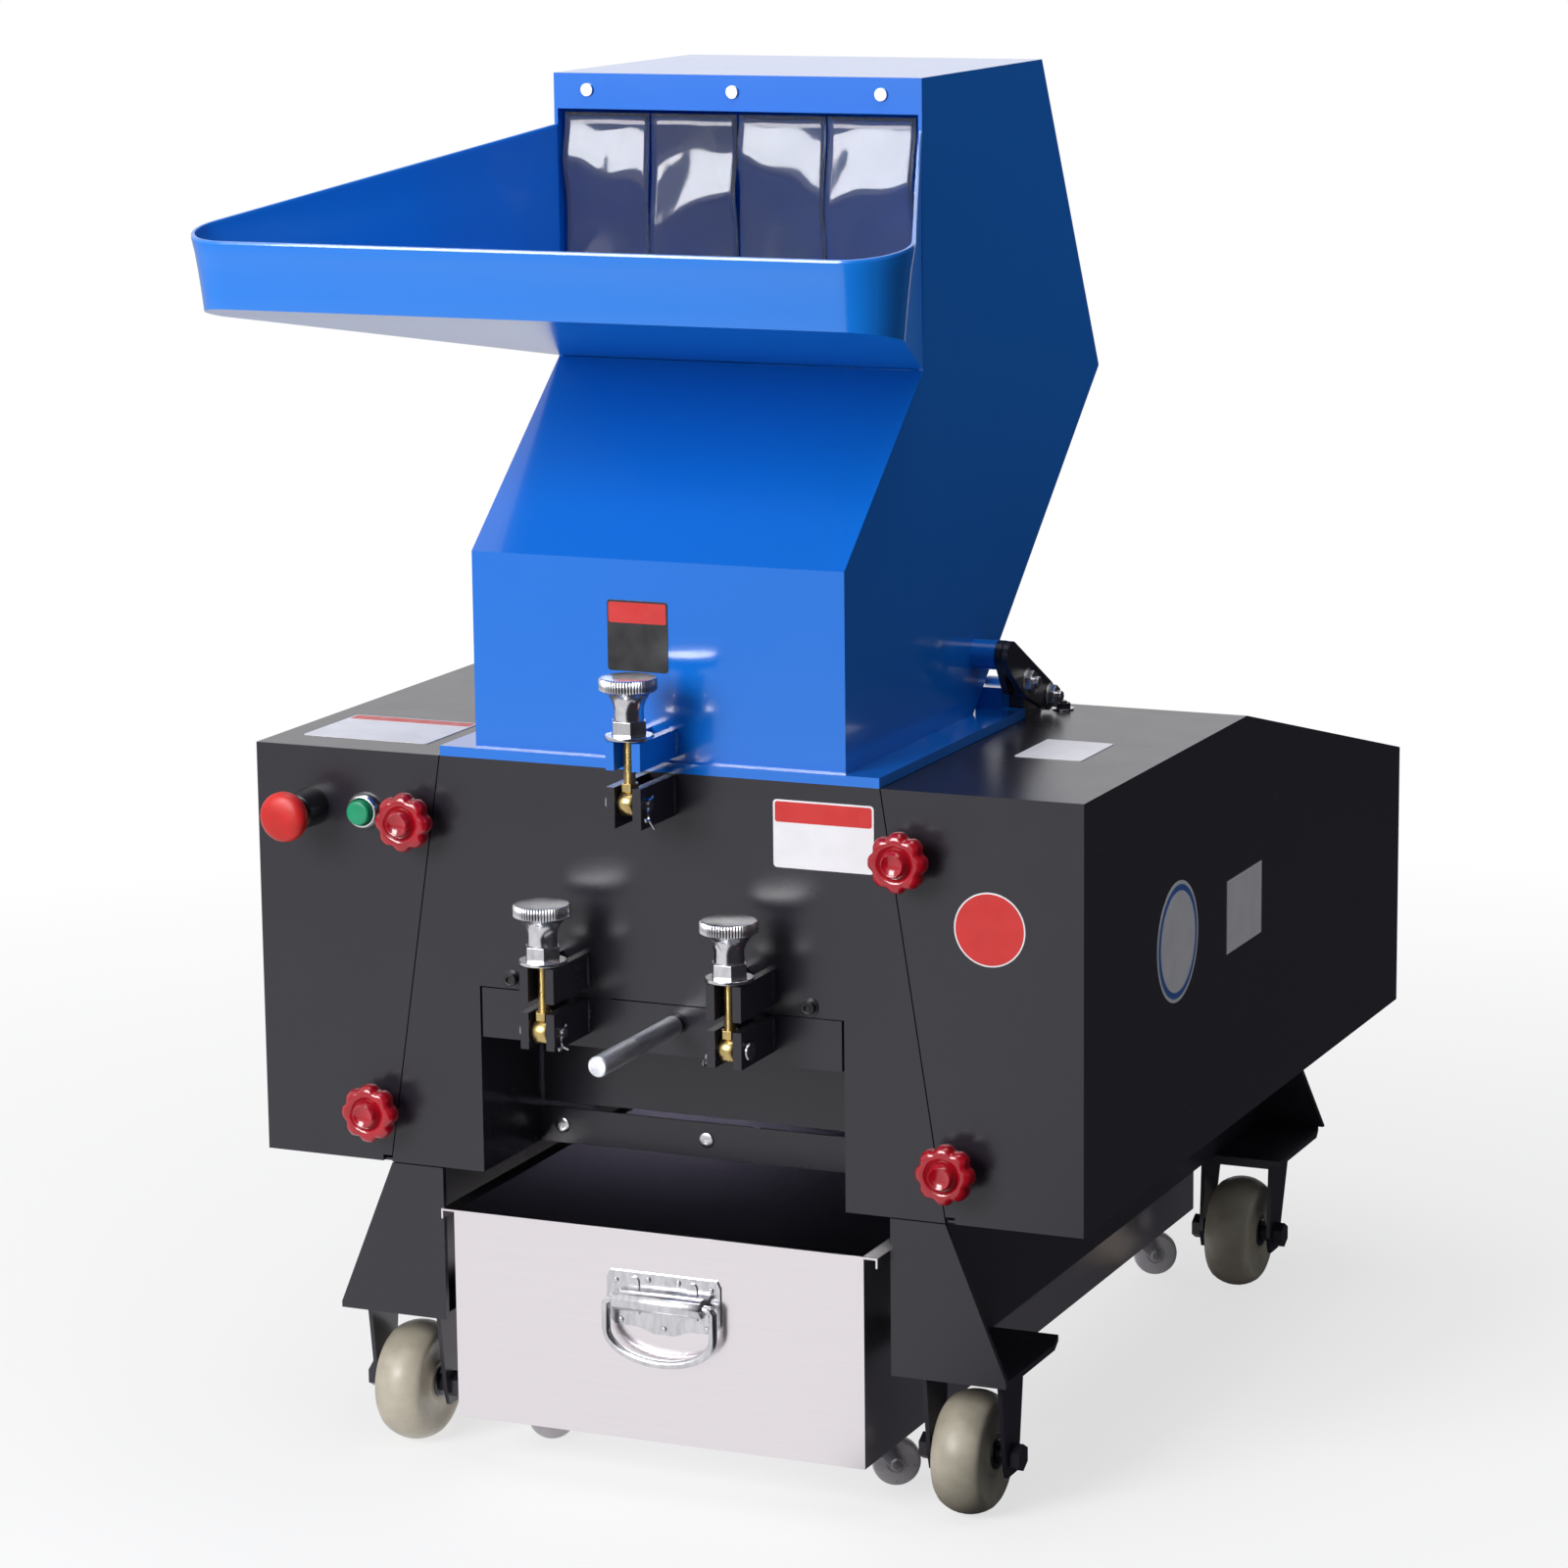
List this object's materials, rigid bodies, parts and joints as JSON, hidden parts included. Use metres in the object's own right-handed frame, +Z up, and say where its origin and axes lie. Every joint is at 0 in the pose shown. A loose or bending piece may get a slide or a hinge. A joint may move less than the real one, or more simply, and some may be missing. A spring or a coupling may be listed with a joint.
{
  "type": "plastic granulator",
  "caption": "Floor-standing plastic granulator with a tilting hopper and feed tray, a knife rotor, a drop-down screen cradle and a wheeled collecting bin.",
  "frame": {"origin": "centre of the bounding box at floor level, under the middle of the machine", "axes": "+Z up, -Y to the front (feed tray side), +X to the machine's right as seen from the front"},
  "size_m": [0.7026, 1.026, 1.102],
  "materials": {
    "black_paint": "satin powder coat",
    "blue_paint": "glossy",
    "steel": "brushed",
    "machined_steel": "machined",
    "zinc": "bright zinc",
    "yellow_zinc": "yellow zinc",
    "stainless": "brushed stainless",
    "red_plastic": "glossy",
    "green_plastic": "satin",
    "grey_plastic": "satin",
    "motor_paint": "satin",
    "belt_rubber": "matt",
    "wheel_rubber": "matt",
    "curtain_vinyl": "clear vinyl",
    "label_yellow": "satin"
  },
  "bodies": {
    "frame": {"stand": "black_paint", "chamber": "black_paint", "bed_knives": "machined_steel", "bearings": "machined_steel", "front_panel": "black_paint", "left_hood": "black_paint", "right_hood": "black_paint", "rear_cover": "black_paint", "hinge_lugs": "black_paint", "front_forks": "black_paint", "switch_housings": "zinc", "motor": "motor_paint", "drive_belts": "belt_rubber", "label_plates": "label_yellow", "panel_fasteners": "machined_steel", "top_latch_pin": "zinc"},
    "hopper": {"hopper": "blue_paint", "feed_tray": "blue_paint", "curtain_rail": "steel"},
    "curtain": {"curtain": "curtain_vinyl"},
    "upper_stay": {"upper_stay": "black_paint"},
    "lower_stay": {"lower_stay": "black_paint"},
    "top_bolt": {"top_eye_bolt": "yellow_zinc"},
    "top_knob": {"top_knob": "zinc"},
    "cradle": {"screen_cradle": "black_paint", "screen": "steel", "cradle_pins": "zinc"},
    "left_bolt": {"left_eye_bolt": "yellow_zinc"},
    "left_knob": {"left_knob": "zinc"},
    "right_bolt": {"right_eye_bolt": "yellow_zinc"},
    "right_knob": {"right_knob": "zinc"},
    "rotor": {"rotor_shaft": "machined_steel", "rotor_knives": "machined_steel", "rotor_pulley": "machined_steel", "flywheel": "machined_steel"},
    "motor_rotor": {"motor_pulley": "machined_steel"},
    "stop": {"stop_button": "red_plastic"},
    "start": {"start_button": "green_plastic"},
    "bin": {"bin": "stainless", "bin_handle": "steel"},
    "bail": {"bin_bail": "zinc"},
    "star_knob_left_high": {"star_knob_left_high": "red_plastic"},
    "star_knob_left_low": {"star_knob_left_low": "red_plastic"},
    "star_knob_right_high": {"star_knob_right_high": "red_plastic"},
    "star_knob_right_low": {"star_knob_right_low": "red_plastic"},
    "bin_fork_front_left": {"bin_fork_front_left": "zinc"},
    "bin_wheel_front_left": {"bin_wheel_front_left": "grey_plastic"},
    "bin_fork_front_right": {"bin_fork_front_right": "zinc"},
    "bin_wheel_front_right": {"bin_wheel_front_right": "grey_plastic"},
    "bin_fork_rear_left": {"bin_fork_rear_left": "zinc"},
    "bin_wheel_rear_left": {"bin_wheel_rear_left": "grey_plastic"},
    "bin_fork_rear_right": {"bin_fork_rear_right": "zinc"},
    "bin_wheel_rear_right": {"bin_wheel_rear_right": "grey_plastic"},
    "front_wheel_left": {"front_wheel_left": "wheel_rubber"},
    "front_wheel_right": {"front_wheel_right": "wheel_rubber"},
    "rear_fork_left": {"rear_fork_left": "black_paint"},
    "rear_wheel_left": {"rear_wheel_left": "wheel_rubber"},
    "rear_fork_right": {"rear_fork_right": "black_paint"},
    "rear_wheel_right": {"rear_wheel_right": "wheel_rubber"}
  },
  "joints": [
    {"name": "hopper_tilt", "type": "hinge", "parent": "frame", "child": "hopper", "pos_m": [0, 0.026, 0.598], "axis": [-1, 0, 0], "range_deg": [0, 50]},
    {"name": "upper_stay_swing", "type": "hinge", "parent": "hopper", "child": "upper_stay", "pos_m": [0.178, -0.024, 0.637], "axis": [-1, 0, 0], "range_deg": [0, 16]},
    {"name": "lower_stay_swing", "type": "hinge", "parent": "frame", "child": "lower_stay", "pos_m": [0.191, 0.041, 0.594], "axis": [-1, 0, 0], "range_deg": [0, 36]},
    {"name": "top_bolt_lean", "type": "hinge", "parent": "frame", "child": "top_bolt", "pos_m": [0.002, -0.347, 0.5655], "axis": [-1, 0, 0], "range_deg": [0, 25]},
    {"name": "top_knob_spin", "type": "hinge", "parent": "hopper", "child": "top_knob", "pos_m": [0.002, -0.347, 0.6155], "axis": [0, 0, 1], "continuous": true},
    {"name": "curtain_swing", "type": "hinge", "parent": "hopper", "child": "curtain", "pos_m": [0, -0.1275, 1.074], "axis": [1, 0, 0], "range_deg": [0, 60]},
    {"name": "cradle_drop", "type": "hinge", "parent": "frame", "child": "cradle", "pos_m": [0, -0.007, 0.39], "axis": [1, 0, 0], "range_deg": [0, 20]},
    {"name": "left_bolt_lean", "type": "hinge", "parent": "cradle", "child": "left_bolt", "pos_m": [-0.075, -0.347, 0.3796], "axis": [1, 0, 0], "range_deg": [-16, 0]},
    {"name": "right_bolt_lean", "type": "hinge", "parent": "cradle", "child": "right_bolt", "pos_m": [0.083, -0.347, 0.3796], "axis": [1, 0, 0], "range_deg": [-16, 0]},
    {"name": "left_knob_spin", "type": "hinge", "parent": "frame", "child": "left_knob", "pos_m": [-0.075, -0.347, 0.4335], "axis": [0, 0, 1], "continuous": true},
    {"name": "right_knob_spin", "type": "hinge", "parent": "frame", "child": "right_knob", "pos_m": [0.083, -0.347, 0.4335], "axis": [0, 0, 1], "continuous": true},
    {"name": "rotor_spin", "type": "hinge", "parent": "frame", "child": "rotor", "pos_m": [0, -0.147, 0.485], "axis": [-1, 0, 0], "continuous": true},
    {"name": "motor_spin", "type": "hinge", "parent": "frame", "child": "motor_rotor", "pos_m": [0, 0.303, 0.35], "axis": [-1, 0, 0], "continuous": true},
    {"name": "star_knob_left_high_turn", "type": "hinge", "parent": "frame", "child": "star_knob_left_high", "pos_m": [-0.20942, -0.317, 0.529], "axis": [0, -1, 0], "continuous": true},
    {"name": "star_knob_left_low_turn", "type": "hinge", "parent": "frame", "child": "star_knob_left_low", "pos_m": [-0.24651, -0.317, 0.29], "axis": [0, -1, 0], "continuous": true},
    {"name": "star_knob_right_high_turn", "type": "hinge", "parent": "frame", "child": "star_knob_right_high", "pos_m": [0.20942, -0.317, 0.529], "axis": [0, -1, 0], "continuous": true},
    {"name": "star_knob_right_low_turn", "type": "hinge", "parent": "frame", "child": "star_knob_right_low", "pos_m": [0.24651, -0.317, 0.29], "axis": [0, -1, 0], "continuous": true},
    {"name": "stop_press", "type": "slide", "parent": "frame", "child": "stop", "axis": [0, 1, 0], "range_m": [0, 0.006], "stiffness_N_per_m": 900, "springref_m": -0.004},
    {"name": "start_press", "type": "slide", "parent": "frame", "child": "start", "axis": [0, 1, 0], "range_m": [0, 0.004], "stiffness_N_per_m": 500, "springref_m": -0.002},
    {"name": "bin_roll", "type": "slide", "parent": "frame", "child": "bin", "axis": [0, -1, 0], "range_m": [0, 0.7]},
    {"name": "bail_swing", "type": "hinge", "parent": "bin", "child": "bail", "pos_m": [0.007, -0.321, 0.161], "axis": [-1, 0, 0], "range_deg": [0, 95]},
    {"name": "bin_caster_front_left", "type": "hinge", "parent": "bin", "child": "bin_fork_front_left", "pos_m": [-0.152, -0.22, 0.042], "axis": [0, 0, 1], "continuous": true},
    {"name": "bin_wheel_front_left_roll", "type": "hinge", "parent": "bin_fork_front_left", "child": "bin_wheel_front_left", "pos_m": [-0.14104, -0.21512, 0.0195], "axis": [0.4067, -0.9135, 0], "continuous": true},
    {"name": "bin_caster_front_right", "type": "hinge", "parent": "bin", "child": "bin_fork_front_right", "pos_m": [0.152, -0.22, 0.042], "axis": [0, 0, 1], "continuous": true},
    {"name": "bin_wheel_front_right_roll", "type": "hinge", "parent": "bin_fork_front_right", "child": "bin_wheel_front_right", "pos_m": [0.16296, -0.21512, 0.0195], "axis": [0.4067, -0.9135, 0], "continuous": true},
    {"name": "bin_caster_rear_left", "type": "hinge", "parent": "bin", "child": "bin_fork_rear_left", "pos_m": [-0.152, 0.393, 0.042], "axis": [0, 0, 1], "continuous": true},
    {"name": "bin_wheel_rear_left_roll", "type": "hinge", "parent": "bin_fork_rear_left", "child": "bin_wheel_rear_left", "pos_m": [-0.14104, 0.39788, 0.0195], "axis": [0.4067, -0.9135, 0], "continuous": true},
    {"name": "bin_caster_rear_right", "type": "hinge", "parent": "bin", "child": "bin_fork_rear_right", "pos_m": [0.152, 0.393, 0.042], "axis": [0, 0, 1], "continuous": true},
    {"name": "bin_wheel_rear_right_roll", "type": "hinge", "parent": "bin_fork_rear_right", "child": "bin_wheel_rear_right", "pos_m": [0.16296, 0.39788, 0.0195], "axis": [0.4067, -0.9135, 0], "continuous": true},
    {"name": "front_wheel_left_roll", "type": "hinge", "parent": "frame", "child": "front_wheel_left", "pos_m": [-0.243, -0.252, 0.049], "axis": [1, 0, 0], "continuous": true},
    {"name": "front_wheel_right_roll", "type": "hinge", "parent": "frame", "child": "front_wheel_right", "pos_m": [0.243, -0.252, 0.049], "axis": [1, 0, 0], "continuous": true},
    {"name": "rear_caster_left", "type": "hinge", "parent": "frame", "child": "rear_fork_left", "pos_m": [-0.243, 0.412, 0.118], "axis": [0, 0, 1], "continuous": true},
    {"name": "rear_wheel_left_roll", "type": "hinge", "parent": "rear_fork_left", "child": "rear_wheel_left", "pos_m": [-0.243, 0.398, 0.049], "axis": [1, 0, 0], "continuous": true},
    {"name": "rear_caster_right", "type": "hinge", "parent": "frame", "child": "rear_fork_right", "pos_m": [0.243, 0.412, 0.118], "axis": [0, 0, 1], "continuous": true},
    {"name": "rear_wheel_right_roll", "type": "hinge", "parent": "rear_fork_right", "child": "rear_wheel_right", "pos_m": [0.243, 0.398, 0.049], "axis": [1, 0, 0], "continuous": true}
  ],
  "couplings": [
    {"joint": "upper_stay_swing", "follows": "hopper_tilt", "ratio": 0.292},
    {"joint": "lower_stay_swing", "follows": "hopper_tilt", "ratio": 0.664},
    {"joint": "top_bolt_lean", "follows": "hopper_tilt", "ratio": 0.43},
    {"joint": "left_bolt_lean", "follows": "cradle_drop", "ratio": -0.7},
    {"joint": "right_bolt_lean", "follows": "cradle_drop", "ratio": -0.7},
    {"joint": "motor_spin", "follows": "rotor_spin", "ratio": 2}
  ]
}
